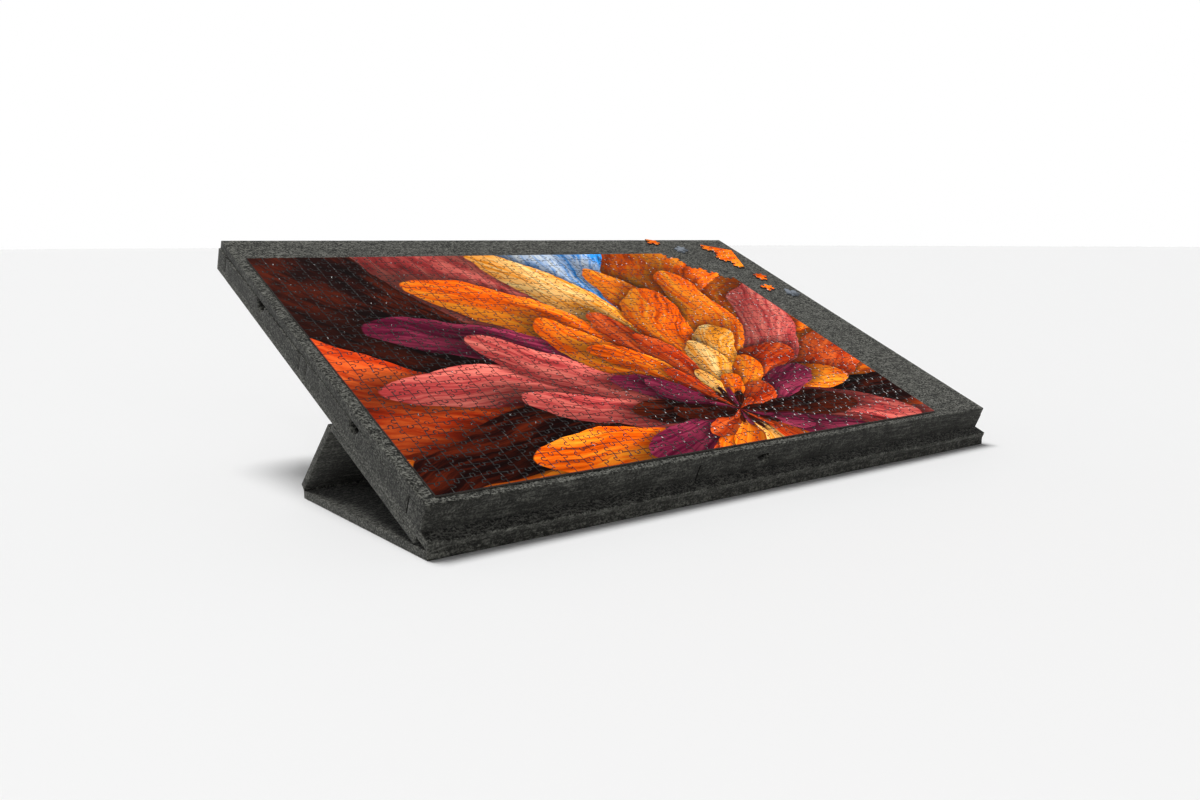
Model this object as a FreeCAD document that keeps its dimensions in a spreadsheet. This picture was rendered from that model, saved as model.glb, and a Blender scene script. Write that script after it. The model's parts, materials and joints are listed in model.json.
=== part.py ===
import FreeCAD, Part
import math
import os
import sys

import Sketcher
from FreeCAD import Placement, Rotation, Vector

# A jigsaw puzzle board of pressed felt. The board is three layers: a work surface, a core of felt strips with
# five sorting drawers between them, and a bottom sheet whose front lip is folded onto a stand. The stand is a
# strip of felt in three panels: one lies on the table, one props the board up, one lies under the board.
# An almost finished puzzle, its assembled corner and five loose pieces lie on the work surface.
# X runs along the board's width, Y away from the person who uses it, Z up. The origin is on the table, in the
# middle of the space that the board and its stand take up.

doc = FreeCAD.newDocument("PuzzleBoard")

# Driving dimensions, in millimetres and degrees
DIMENSIONS = [
    ("board_width", 800, "width of every full sheet"),
    ("board_depth", 536, "front face to back face"),
    ("board_tilt", 23.6, "slope of the work surface"),
    ("top_thick", 10, "work surface felt"),
    ("top_inset", 1, "the work surface stops this short of the core, all round"),
    ("core_thick", 18, "strips and drawers"),
    ("bottom_thick", 8, "bottom sheet felt"),
    ("lip_depth", 15, "how far the bottom sheet stands out in front"),
    ("frame_rail", 27, "width of the front and back rails"),
    ("divider", 17, "width of the strips between drawers"),
    ("side_bay_depth", 290, "left or right face to the spine"),
    ("front_bay_width", 186, "between the two spines"),
    ("front_bay_depth", 235, "front face to the centre core"),
    ("drawer_gap", 0.5, "clearance round a drawer"),
    ("drawer_rear_gap", 4, "clearance behind a drawer"),
    ("drawer_front", 8, "thickness of a drawer's front"),
    ("tray_wall", 4, "thickness of a tray's walls"),
    ("tray_floor", 3, "thickness of a tray's floor"),
    ("notch_radius", 9, "half-round finger notch"),
    ("panel_thick", 8, "stand felt"),
    ("base_depth", 265, "panel on the table"),
    ("prop_length", 105.5, "panel that stands on the rear fold"),
    ("strut_length", 182, "panel that lies under the board"),
    ("strut_gap", 0.5, "strut to the underside of the board"),
    ("fold_chamfer", 2.3, "bevel on both sides of a fold"),
    ("fold_radius", 1.3, "rolled skin of felt in a fold"),
    ("puzzle_columns", 38, "pieces along the width"),
    ("puzzle_rows", 27, "pieces up the slope"),
    ("piece_width", 18.2, "pitch of the columns"),
    ("piece_depth", 17.5, "pitch of the rows"),
    ("piece_thick", 2, "cardboard"),
    ("piece_rest", 0.1, "the cardboard lies this much above the felt"),
    ("knob_radius", 2.7, "round head of a knob"),
    ("knob_neck", 3.6, "width of a knob's neck"),
    ("kerf", 0.1, "gap cut between two pieces"),
    ("puzzle_left", 12, "board's left edge to the puzzle"),
    ("puzzle_front", 8, "board's front edge to the puzzle"),
]

sheet = doc.addObject("Spreadsheet::Sheet", "Dims")
sheet.Label = "Dims"
for row, (alias, value, note) in enumerate(DIMENSIONS, start=1):
    sheet.set("A%d" % row, alias)
    sheet.set("B%d" % row, str(value))
    sheet.set("C%d" % row, note)
    sheet.setAlias("B%d" % row, alias)
doc.recompute()


def dim(alias):
    return float(sheet.get(alias))


def evaluate(expression):
    return float(sheet.evalExpression(expression))


# Places worked out from the driving dimensions

tilt = math.radians(dim("board_tilt"))
board_thick = dim("bottom_thick") + dim("core_thick") + dim("top_thick")
front_fold_z = dim("panel_thick")
half_width = dim("board_width") / 2
front_face = dim("lip_depth")
back_face = dim("lip_depth") + dim("board_depth")
core_floor = dim("bottom_thick")
surface = board_thick

# The lip's front edge leans out over the table and the bottom sheet's back edge is furthest back
foremost = -dim("bottom_thick") * math.sin(tilt)
rearmost = back_face * math.cos(tilt)
front_fold = Vector(0, -(foremost + rearmost) / 2, front_fold_z)
rear_fold = front_fold + Vector(0, dim("base_depth"), 0)


def find_top_fold():
    """The strut's lower face is parallel to the board; the prop reaches it from the rear fold."""
    along = Vector(0, math.cos(tilt), math.sin(tilt))
    across = Vector(0, -math.sin(tilt), math.cos(tilt))
    below = dim("strut_gap") + dim("panel_thick")
    height = dim("base_depth") * math.sin(tilt) - below
    reach = math.sqrt(dim("prop_length") ** 2 - height ** 2)
    distance = dim("base_depth") * math.cos(tilt) - reach
    return front_fold + along * distance - across * below


top_fold = find_top_fold()
prop_lean = math.degrees(math.atan2(top_fold.z - rear_fold.z, top_fold.y - rear_fold.y))

# Frames that the pieces are drawn in. In each, Y runs along the felt away from its fold.
# The board's frame has Z = 0 on the underside; a stand panel's has Z = 0 on the face inside the fold.
x_axis = Vector(1, 0, 0)
board_frame = Placement(front_fold, Rotation(x_axis, dim("board_tilt")))
base_frame = Placement(front_fold, Rotation(x_axis, 0))
prop_frame = Placement(rear_fold, Rotation(x_axis, prop_lean))
strut_frame = Placement(top_fold, Rotation(x_axis, 180 + dim("board_tilt")))

pieces = []


def keep(piece, label, placement):
    piece.Label = label
    piece.Placement = placement
    pieces.append(piece)
    return piece


def origin_plane(body, role):
    return next(f for f in body.Origin.OriginFeatures if f.Role == role)


def new_sketch(body, name, role):
    sketch = body.newObject("Sketcher::SketchObject", name)
    sketch.AttachmentSupport = (origin_plane(body, role), [""])
    sketch.MapMode = "FlatFace"
    return sketch


def bind(sketch, constraint, name, expression):
    """Adds a named dimension to a sketch and ties it to the sheet."""
    index = sketch.addConstraint(constraint)
    sketch.renameConstraint(index, name)
    sketch.setExpression("Constraints." + name, expression)


def rectangle(sketch, width, depth, x_low, y_low):
    """A rectangle; its size and its lower left corner are expressions."""
    corners = [Vector(0, 0, 0), Vector(10, 0, 0), Vector(10, 10, 0), Vector(0, 10, 0)]
    for start, end in zip(corners, corners[1:] + corners[:1]):
        sketch.addGeometry(Part.LineSegment(start, end))
    for side in range(4):
        sketch.addConstraint(Sketcher.Constraint("Coincident", side, 2, (side + 1) % 4, 1))
    for side in (0, 2):
        sketch.addConstraint(Sketcher.Constraint("Horizontal", side))
    for side in (1, 3):
        sketch.addConstraint(Sketcher.Constraint("Vertical", side))
    bind(sketch, Sketcher.Constraint("DistanceX", 0, 1, 0, 2, 10), "width", width)
    bind(sketch, Sketcher.Constraint("DistanceY", 1, 1, 1, 2, 10), "depth", depth)
    bind(sketch, Sketcher.Constraint("DistanceX", -1, 1, 0, 1, -5), "x_low", x_low)
    bind(sketch, Sketcher.Constraint("DistanceY", -1, 1, 0, 1, 5), "y_low", y_low)


def polygon_section(sketch, points):
    """A closed section; each point's two coordinates are expressions."""
    values = [(evaluate(u), evaluate(v)) for u, v in points]
    count = len(points)
    for index in range(count):
        start, end = values[index], values[(index + 1) % count]
        sketch.addGeometry(Part.LineSegment(Vector(start[0], start[1], 0), Vector(end[0], end[1], 0)))
    for index in range(count):
        sketch.addConstraint(Sketcher.Constraint("Coincident", index, 2, (index + 1) % count, 1))
    for index, (u, v) in enumerate(points):
        value = values[index]
        if value[0] == 0:
            sketch.addConstraint(Sketcher.Constraint("PointOnObject", index, 1, -2))
        else:
            place = Sketcher.Constraint("DistanceX", -1, 1, index, 1, value[0])
            bind(sketch, place, "u%d" % index, u)
        if value[1] == 0:
            sketch.addConstraint(Sketcher.Constraint("PointOnObject", index, 1, -1))
        else:
            place = Sketcher.Constraint("DistanceY", -1, 1, index, 1, value[1])
            bind(sketch, place, "v%d" % index, v)


def full_width_sheet(label, points, placement):
    """Felt of one section all along the board's width."""
    body = doc.addObject("PartDesign::Body", label)
    section = new_sketch(body, label + "_section", "YZ_Plane")
    polygon_section(section, points)
    pad = body.newObject("PartDesign::Pad", label + "_pad")
    pad.Profile = section
    pad.SideType = "Symmetric"
    pad.setExpression("Length", "Dims.board_width")
    return keep(body, label, placement)


def core_strip(label, width, depth, x_low, y_low):
    """A straight strip of core felt, placed in the board's frame."""
    strip = doc.addObject("Part::Box", label)
    strip.setExpression("Length", width)
    strip.setExpression("Width", depth)
    strip.setExpression("Height", "Dims.core_thick")
    corner = Placement(Vector(evaluate(x_low), evaluate(y_low), core_floor), Rotation())
    return keep(strip, label, board_frame.multiply(corner))


# Board

def make_top_sheet():
    body = doc.addObject("PartDesign::Body", "top_sheet")
    outline = new_sketch(body, "top_sheet_outline", "XY_Plane")
    rectangle(
        outline,
        "Dims.board_width - 2 * Dims.top_inset",
        "Dims.board_depth - 2 * Dims.top_inset",
        "Dims.top_inset - Dims.board_width / 2",
        "Dims.lip_depth + Dims.top_inset",
    )
    pad = body.newObject("PartDesign::Pad", "top_sheet_pad")
    pad.Profile = outline
    pad.setExpression("Length", "Dims.top_thick")
    lift = Placement(Vector(0, 0, core_floor + dim("core_thick")), Rotation())
    keep(body, "top_sheet", board_frame.multiply(lift))


def make_bottom_sheet():
    back = "Dims.lip_depth + Dims.board_depth"
    points = [
        ("Dims.fold_chamfer", "0"),
        (back, "0"),
        (back, "Dims.bottom_thick"),
        ("0", "Dims.bottom_thick"),
        ("0", "Dims.fold_chamfer"),
    ]
    full_width_sheet("bottom_sheet", points, board_frame)


def make_core():
    left = "-Dims.board_width / 2"
    front = "Dims.lip_depth"
    front_rail_width = "(Dims.board_width - Dims.front_bay_width) / 2"
    right_rail = "Dims.front_bay_width / 2"
    core_strip("front_left_rail", front_rail_width, "Dims.frame_rail", left, front)
    core_strip("front_right_rail", front_rail_width, "Dims.frame_rail", right_rail, front)
    back_rail_front = "Dims.lip_depth + Dims.board_depth - Dims.frame_rail"
    core_strip("back_rail", "Dims.board_width", "Dims.frame_rail", left, back_rail_front)

    divider_front = "Dims.lip_depth + (Dims.board_depth - Dims.divider) / 2"
    right_bay = "Dims.board_width / 2 - Dims.side_bay_depth"
    core_strip("left_divider", "Dims.side_bay_depth", "Dims.divider", left, divider_front)
    core_strip("right_divider", "Dims.side_bay_depth", "Dims.divider", right_bay, divider_front)

    spine_width = "Dims.board_width / 2 - Dims.side_bay_depth - Dims.front_bay_width / 2"
    spine_depth = "Dims.board_depth - 2 * Dims.frame_rail"
    spine_front = "Dims.lip_depth + Dims.frame_rail"
    left_spine = "Dims.side_bay_depth - Dims.board_width / 2"
    core_strip("left_spine", spine_width, spine_depth, left_spine, spine_front)
    core_strip("right_spine", spine_width, spine_depth, right_rail, spine_front)

    block_depth = "Dims.board_depth - Dims.frame_rail - Dims.front_bay_depth"
    block_front = "Dims.lip_depth + Dims.front_bay_depth"
    core_strip("centre_core", "Dims.front_bay_width", block_depth, "-Dims.front_bay_width / 2", block_front)


# Sorting drawers, each drawn with its front face on Y = 0 and its tray behind it

side_bay_width = "(Dims.board_depth - Dims.divider) / 2 - Dims.frame_rail"
drawer_height = "Dims.core_thick - 2 * Dims.drawer_gap"


def drawer_front(label, width, placement):
    """Felt front with a half-round notch in its top edge, for a finger."""
    body = doc.addObject("PartDesign::Body", label)
    face = new_sketch(body, label + "_face", "XZ_Plane")
    half, top, radius = evaluate(width) / 2, evaluate(drawer_height), dim("notch_radius")
    bottom_left, bottom_right = Vector(-half, 0, 0), Vector(half, 0, 0)
    top_left, top_right = Vector(-half, top, 0), Vector(half, top, 0)
    notch_left, notch_right = Vector(-radius, top, 0), Vector(radius, top, 0)
    for start, end in (
        (bottom_left, bottom_right),
        (bottom_right, top_right),
        (top_right, notch_right),
        (notch_left, top_left),
        (top_left, bottom_left),
    ):
        face.addGeometry(Part.LineSegment(start, end))
    circle = Part.Circle(Vector(0, top, 0), Vector(0, 0, 1), radius)
    face.addGeometry(Part.ArcOfCircle(circle, math.pi, 2 * math.pi))
    foot, right, top_r, top_l, left, notch = range(6)
    for first, first_end, second, second_end in (
        (foot, 2, right, 1),
        (right, 2, top_r, 1),
        (top_r, 2, notch, 2),
        (notch, 1, top_l, 1),
        (top_l, 2, left, 1),
        (left, 2, foot, 1),
    ):
        face.addConstraint(Sketcher.Constraint("Coincident", first, first_end, second, second_end))
    for level in (top_r, top_l):
        face.addConstraint(Sketcher.Constraint("Horizontal", level))
    for upright in (right, left):
        face.addConstraint(Sketcher.Constraint("Vertical", upright))
    face.addConstraint(Sketcher.Constraint("PointOnObject", foot, 1, -1))
    face.addConstraint(Sketcher.Constraint("Symmetric", foot, 1, foot, 2, -2))
    face.addConstraint(Sketcher.Constraint("Equal", left, right))
    face.addConstraint(Sketcher.Constraint("PointOnObject", notch, 3, -2))
    face.addConstraint(Sketcher.Constraint("Horizontal", notch, 3, notch, 1))
    bind(face, Sketcher.Constraint("DistanceX", foot, 1, foot, 2, 2 * half), "width", width)
    bind(face, Sketcher.Constraint("DistanceY", right, 1, right, 2, top), "height", drawer_height)
    bind(face, Sketcher.Constraint("Radius", notch, radius), "notch", "Dims.notch_radius")
    pad = body.newObject("PartDesign::Pad", label + "_pad")
    pad.Profile = face
    pad.Reversed = True
    pad.setExpression("Length", "Dims.drawer_front")
    keep(body, label, placement)


def drawer_tray(label, width, depth, placement):
    """Shallow tray, open at the top."""
    body = doc.addObject("PartDesign::Body", label)
    outline = new_sketch(body, label + "_outline", "XY_Plane")
    rectangle(outline, width, depth, "-(%s) / 2" % width, "Dims.drawer_front")
    block = body.newObject("PartDesign::Pad", label + "_block")
    block.Profile = outline
    block.setExpression("Length", drawer_height)
    doc.recompute()

    rim = new_sketch(body, label + "_rim", "XY_Plane")
    rim.setExpression("AttachmentOffset.Base.z", drawer_height)
    inner_width = "%s - 2 * Dims.tray_wall" % width
    rectangle(
        rim,
        inner_width,
        "%s - 2 * Dims.tray_wall" % depth,
        "-(%s) / 2" % inner_width,
        "Dims.drawer_front + Dims.tray_wall",
    )
    hollow = body.newObject("PartDesign::Pocket", label + "_hollow")
    hollow.Profile = rim
    hollow.setExpression("Length", "%s - Dims.tray_floor" % drawer_height)
    keep(body, label, placement)


def drawer(label, bay_width, bay_depth, mouth, turn):
    """A drawer whose mouth, the middle of its bay's opening, is given in the board's frame."""
    width = "%s - 2 * Dims.drawer_gap" % bay_width
    depth = "%s - Dims.drawer_front - Dims.drawer_rear_gap" % bay_depth
    lifted = mouth + Vector(0, 0, core_floor + dim("drawer_gap"))
    placement = board_frame.multiply(Placement(lifted, Rotation(Vector(0, 0, 1), turn)))
    drawer_front(label + "_front", width, placement)
    drawer_tray(label + "_tray", width, depth, placement)


def make_drawers():
    bay = evaluate(side_bay_width)
    front_bay_middle = front_face + dim("frame_rail") + bay / 2
    rear_bay_middle = back_face - dim("frame_rail") - bay / 2
    for side, x, turn in (("left", -half_width, -90), ("right", half_width, 90)):
        for place, y in (("front", front_bay_middle), ("rear", rear_bay_middle)):
            label = "%s_%s_drawer" % (side, place)
            drawer(label, side_bay_width, "Dims.side_bay_depth", Vector(x, y, 0), turn)
    mouth = Vector(0, front_face, 0)
    drawer("front_drawer", "Dims.front_bay_width", "Dims.front_bay_depth", mouth, 0)


# Stand

def stand_panel(label, length, placement):
    """Felt panel, bevelled where its inner face meets a fold."""
    points = [
        ("0", "-Dims.panel_thick"),
        (length, "-Dims.panel_thick"),
        (length, "-Dims.fold_chamfer"),
        ("%s - Dims.fold_chamfer" % length, "0"),
        ("Dims.fold_chamfer", "0"),
        ("0", "-Dims.fold_chamfer"),
    ]
    full_width_sheet(label, points, placement)


def fold_skin(label, centre):
    """The rolled skin of felt along a fold."""
    skin = doc.addObject("Part::Cylinder", label)
    skin.setExpression("Radius", "Dims.fold_radius")
    skin.setExpression("Height", "Dims.board_width")
    start = Vector(-half_width, centre.y, centre.z)
    keep(skin, label, Placement(start, Rotation(Vector(0, 1, 0), 90)))


def make_stand():
    stand_panel("base_panel", "Dims.base_depth", base_frame)
    stand_panel("prop_panel", "Dims.prop_length", prop_frame)
    stand_panel("strut_panel", "Dims.strut_length", strut_frame)
    fold_skin("front_fold", front_fold)
    fold_skin("rear_fold", rear_fold)
    fold_skin("top_fold", top_fold)


# Jigsaw. A piece is named by its column and row, counted from the front left corner.

columns = int(dim("puzzle_columns"))
rows = int(dim("puzzle_rows"))

# The first missing column of each row at the back right corner
first_missing = {rows - 1: 34, rows - 2: 35, rows - 3: 35, rows - 4: 36, rows - 5: 37}
corner_cells = [(35, 26), (36, 26), (37, 26), (36, 25), (37, 25), (36, 24), (37, 24), (37, 23)]

# Where the corner and the loose pieces lie: a point of the work surface, from the board's front left
# corner, and a turn in degrees. The corner's point is its outer corner; a loose piece's is its middle.
corner_place = (786, 490, -24)
loose_places = [
    ("loose_piece_1", (34, 26), (646, 523, -22)),
    ("loose_piece_2", (35, 25), (683, 495, 30)),
    ("loose_piece_3", (35, 24), (762, 393, -38)),
    ("loose_piece_4", (36, 23), (741, 357, 20)),
    ("loose_piece_5", (37, 22), (775, 339, -30)),
]


def knob_side(column, row, upward):
    """+1 if the knob on a piece's right (or back) side points away from it, -1 if it points into it."""
    mix = column * 5 + row * 3 + column * row + (2 if upward else 0)
    return 1 if mix % 4 < 2 else -1


def grid_point(column, row):
    return Vector(column * dim("piece_width"), row * dim("piece_depth"), 0)


def knob_edges(start, end, side):
    """A straight cut with a round knob in its middle, to the left of its direction if side is +1."""
    along = (end - start).normalize()
    across = Vector(-along.y, along.x, 0) * side
    radius, neck = dim("knob_radius"), dim("knob_neck")
    middle = (start + end) / 2
    neck_start = middle - along * (neck / 2)
    neck_end = middle + along * (neck / 2)
    height = radius + math.sqrt(radius ** 2 - (neck / 2) ** 2)
    head = Part.Arc(neck_start, middle + across * height, neck_end)
    return [
        Part.LineSegment(start, neck_start).toShape(),
        head.toShape(),
        Part.LineSegment(neck_end, end).toShape(),
    ]


def side_edges(cell, step):
    """The cut on one side of a piece, taken anticlockwise; a side on the puzzle's border is straight."""
    column, row = cell
    corners = {
        (0, -1): ((column, row), (column + 1, row)),
        (1, 0): ((column + 1, row), (column + 1, row + 1)),
        (0, 1): ((column + 1, row + 1), (column, row + 1)),
        (-1, 0): ((column, row + 1), (column, row)),
    }
    start, end = (grid_point(*corner) for corner in corners[step])
    beside = (column + step[0], row + step[1])
    if not (0 <= beside[0] < columns and 0 <= beside[1] < rows):
        return [Part.LineSegment(start, end).toShape()]
    owner = cell if sum(step) > 0 else beside
    outward = knob_side(owner[0], owner[1], step[0] == 0) * (1 if sum(step) > 0 else -1)
    return knob_edges(start, end, -outward)


def outline(cells):
    """The outer line of a group of joined pieces."""
    group = set(cells)
    edges = []
    for cell in cells:
        for step in ((0, -1), (1, 0), (0, 1), (-1, 0)):
            if (cell[0] + step[0], cell[1] + step[1]) not in group:
                edges.extend(side_edges(cell, step))
    return Part.Wire(Part.__sortEdges__(edges))


def cardboard(cells, kerf=0.0):
    face = Part.Face(outline(cells))
    if kerf:
        face = face.makeOffset2D(-kerf / 2)
    return face.extrude(Vector(0, 0, dim("piece_thick"))).removeSplitter()


def set_down(label, shape, grip, place):
    """Lays cardboard on the felt so that its grip, a point of the puzzle's own grid, comes to the place."""
    x, y, turn = place
    corner = Vector(x - half_width, front_face + y, surface + dim("piece_rest"))
    laid = Placement(corner, Rotation(Vector(0, 0, 1), turn))
    piece = doc.addObject("Part::Feature", label)
    piece.Shape = shape
    keep(piece, label, board_frame.multiply(laid).multiply(Placement(-grip, Rotation())))


def make_puzzle():
    cells = [(c, r) for r in range(rows) for c in range(first_missing.get(r, columns))]
    set_down("puzzle", cardboard(cells), grid_point(0, 0), (dim("puzzle_left"), dim("puzzle_front"), 0))

    joined = Part.makeCompound([cardboard([cell], dim("kerf")) for cell in corner_cells])
    set_down("puzzle_corner", joined, grid_point(columns, rows), corner_place)

    for label, cell, place in loose_places:
        middle = grid_point(cell[0] + 0.5, cell[1] + 0.5)
        set_down(label, cardboard([cell], dim("kerf")), middle, place)


def check_and_export():
    doc.recompute()
    for item in doc.Objects:
        if "Invalid" in item.State or "Error" in item.State:
            sys.exit("%s failed: %s" % (item.Name, item.State))
    os.makedirs("parts", exist_ok=True)
    for piece in pieces:
        shape = piece.Shape
        if shape.isNull() or not shape.isValid() or not shape.Solids:
            sys.exit("%s has no valid solid" % piece.Label)
        shape.exportStep("parts/%s.step" % piece.Label)
        print("%-26s %9.1f cm3" % (piece.Label, shape.Volume / 1000))


make_top_sheet()
make_bottom_sheet()
make_core()
make_drawers()
make_stand()
make_puzzle()
check_and_export()

for name, point in (("front_fold", front_fold), ("rear_fold", rear_fold), ("top_fold", top_fold)):
    print("%s at y %.3f z %.3f" % (name, point.y, point.z))
print("prop leans %.3f degrees" % prop_lean)
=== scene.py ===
import json
import math
import random

import bpy
from mathutils import Euler, Matrix, Vector


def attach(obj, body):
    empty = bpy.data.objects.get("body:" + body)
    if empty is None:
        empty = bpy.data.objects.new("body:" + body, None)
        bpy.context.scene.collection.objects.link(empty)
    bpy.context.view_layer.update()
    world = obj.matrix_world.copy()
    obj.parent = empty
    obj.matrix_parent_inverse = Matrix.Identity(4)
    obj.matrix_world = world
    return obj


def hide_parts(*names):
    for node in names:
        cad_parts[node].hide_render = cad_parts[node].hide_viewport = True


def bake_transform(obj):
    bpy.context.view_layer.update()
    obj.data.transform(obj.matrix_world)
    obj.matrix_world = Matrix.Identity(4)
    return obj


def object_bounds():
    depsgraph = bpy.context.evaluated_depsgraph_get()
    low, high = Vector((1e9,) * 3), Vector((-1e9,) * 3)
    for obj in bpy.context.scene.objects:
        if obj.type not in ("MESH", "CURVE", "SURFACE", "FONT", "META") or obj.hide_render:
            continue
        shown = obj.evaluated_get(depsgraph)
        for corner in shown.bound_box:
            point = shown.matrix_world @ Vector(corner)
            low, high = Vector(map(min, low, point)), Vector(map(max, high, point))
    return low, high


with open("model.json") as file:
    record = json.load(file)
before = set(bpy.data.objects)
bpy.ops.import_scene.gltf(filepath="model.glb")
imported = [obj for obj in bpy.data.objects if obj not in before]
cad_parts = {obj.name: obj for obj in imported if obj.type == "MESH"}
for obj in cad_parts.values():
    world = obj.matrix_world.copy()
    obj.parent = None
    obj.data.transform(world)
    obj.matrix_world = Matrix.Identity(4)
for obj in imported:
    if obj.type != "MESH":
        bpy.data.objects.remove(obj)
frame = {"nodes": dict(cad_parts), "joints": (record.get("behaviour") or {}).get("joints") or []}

# A jigsaw puzzle board of pressed felt on its folding felt stand, with a nearly finished puzzle on it.
# Lengths are in metres; mm and degree turn the settings below into Blender's units.
mm = 0.001
degree = math.pi / 180
near = 0.05 * mm         # two places that agree so closely are one
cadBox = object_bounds()
dice = random.Random(38)


# Frames that the pieces are modelled in. In each, Y runs along the felt away from its fold.

def jointNamed(name):
    return next(joint for joint in frame["joints"] if joint["name"] == name)


frontFold = Vector(jointNamed("board_tilt")["pos_m"])
rearFold = Vector(jointNamed("prop_fold")["pos_m"])
topFold = Vector(jointNamed("strut_fold")["pos_m"])
boardNormal = Vector(jointNamed("puzzle_lift")["axis"])
tilt = math.atan2(-boardNormal.y, boardNormal.z)
propLean = math.atan2(topFold.z - rearFold.z, topFold.y - rearFold.y)

boardPlace = Matrix.Translation(frontFold) @ Matrix.Rotation(tilt, 4, "X")
basePlace = Matrix.Translation(frontFold)
propPlace = Matrix.Translation(rearFold) @ Matrix.Rotation(propLean, 4, "X")
strutPlace = Matrix.Translation(topFold) @ Matrix.Rotation(math.pi + tilt, 4, "X")


# lowest and highest corner of a CAD node in one of the frames above
def flatBox(nodeName, place):
    back = place.inverted()
    points = [back @ vertex.co for vertex in frame["nodes"][nodeName].data.vertices]
    low = Vector([min(point[axis] for point in points) for axis in range(3)])
    high = Vector([max(point[axis] for point in points) for axis in range(3)])
    return low, high


# Modelling helpers

def deselectAll():
    if bpy.context.object and bpy.context.object.mode != "OBJECT":
        bpy.ops.object.mode_set(mode="OBJECT")
    bpy.ops.object.select_all(action="DESELECT")


def makeActive(piece):
    deselectAll()
    piece.select_set(True)
    bpy.context.view_layer.objects.active = piece


def addBlock(name, low, high):
    deselectAll()
    bpy.ops.mesh.primitive_cube_add(size=1, location=(low + high) / 2, scale=high - low)
    bpy.ops.object.transform_apply(location=True, rotation=True, scale=True)
    piece = bpy.context.object
    piece.name = name
    piece.data.name = name
    return piece


def clearPicks(piece):
    bpy.ops.object.mode_set(mode="OBJECT")
    for group in (piece.data.vertices, piece.data.edges, piece.data.polygons):
        for part in group:
            part.select = False


def pickFaces(piece, test):
    clearPicks(piece)
    bpy.context.tool_settings.mesh_select_mode = (False, False, True)
    for face in piece.data.polygons:
        face.select = bool(test(face))
    bpy.ops.object.mode_set(mode="EDIT")


def pickEdges(piece, test):
    clearPicks(piece)
    bpy.context.tool_settings.mesh_select_mode = (False, True, False)
    points = piece.data.vertices
    for edge in piece.data.edges:
        edge.select = bool(test(points[edge.vertices[0]].co, points[edge.vertices[1]].co))
    bpy.ops.object.mode_set(mode="EDIT")


# a number of cuts across every edge that runs along one axis
def subdivideAlong(piece, axis, cuts):
    pickEdges(piece, lambda start, end: abs((end - start).normalized()[axis]) > 0.999)
    bpy.ops.mesh.subdivide(number_cuts=cuts)
    bpy.ops.object.mode_set(mode="OBJECT")


# rings of cuts about one pitch apart; Blender makes no more than a hundred at once
def cutAcross(piece, axis, pitch):
    points = piece.data.vertices
    length = max(point.co[axis] for point in points) - min(point.co[axis] for point in points)
    cuts = min(100, int(length / pitch))
    if cuts < 1:
        return
    subdivideAlong(piece, axis, cuts)


def applyModifier(piece, kind, **settings):
    makeActive(piece)
    modifier = piece.modifiers.new(kind, kind)
    for name, value in settings.items():
        setattr(modifier, name, value)
    bpy.ops.object.modifier_apply(modifier=modifier.name)


# carries a finished mesh from its flat frame to where it lies, and leaves its object at the origin
def setInPlace(piece, place):
    makeActive(piece)
    piece.data.transform(place)
    piece.data.update()


def cloudTexture(name, size, depth=2):
    texture = bpy.data.textures.new(name, "CLOUDS")
    texture.noise_scale = size
    texture.noise_depth = depth
    return texture


# Material helpers

noiseSpan = (0.3, 0.7)   # nearly all of a noise lies between these


def makeNode(tree, kind, inputs, **settings):
    node = tree.nodes.new("ShaderNode" + kind)
    for name, value in settings.items():
        setattr(node, name, value)
    for name, value in inputs.items():
        if isinstance(value, bpy.types.NodeSocket):
            tree.links.new(value, node.inputs[name])
        else:
            node.inputs[name].default_value = value
    return node


def sums(tree, operation, first, second=0.0, third=0.0):
    return makeNode(tree, "Math", {0: first, 1: second, 2: third}, operation=operation).outputs[0]


# what one operation makes of vectors, read from the output of that name
def vectorSums(tree, operation, inputs, result="Vector"):
    return makeNode(tree, "VectorMath", inputs, operation=operation).outputs[result]


def noiseAt(tree, place, scale, detail=2.0, rough=0.5, bend=0.0):
    inputs = {"Vector": place, "Scale": scale, "Detail": detail, "Roughness": rough, "Distortion": bend}
    return makeNode(tree, "TexNoise", inputs).outputs["Fac"]


def remap(tree, value, low, high, newLow=0.0, newHigh=1.0):
    inputs = {"Value": value, 1: low, 2: high, 3: newLow, 4: newHigh}
    return makeNode(tree, "MapRange", inputs).outputs["Result"]


def blendColours(tree, amount, first, second, way="MIX"):
    node = makeNode(tree, "Mix", {}, data_type="RGBA", blend_type=way)
    for socket, value in ((node.inputs[0], amount), (node.inputs[6], first), (node.inputs[7], second)):
        if isinstance(value, bpy.types.NodeSocket):
            tree.links.new(value, socket)
        else:
            socket.default_value = value
    return node.outputs[2]


# colours at places from 0 to 1, blended between them unless another way is given
def ramp(tree, value, stops, way="LINEAR"):
    node = makeNode(tree, "ValToRGB", {"Fac": value})
    band = node.color_ramp
    band.interpolation = way
    band.elements[0].position, band.elements[0].color = stops[0]
    band.elements[1].position, band.elements[1].color = stops[-1]
    for position, tone in stops[1:-1]:
        band.elements.new(position).color = tone
    return node.outputs["Color"]


def greyOf(tree, level):
    return makeNode(tree, "CombineColor", {"Red": level, "Green": level, "Blue": level}).outputs[0]


def newMaterial(name, roughness, specular):
    material = bpy.data.materials.new(name)
    material.use_nodes = True
    tree = material.node_tree
    shader = tree.nodes["Principled BSDF"]
    shader.inputs["Roughness"].default_value = roughness
    shader.inputs["Specular IOR Level"].default_value = specular
    return material, tree, shader


def grey(level):
    return (level, level, level, 1)


# Pressed felt: dark grey wool with lighter and darker threads pressed together

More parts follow.
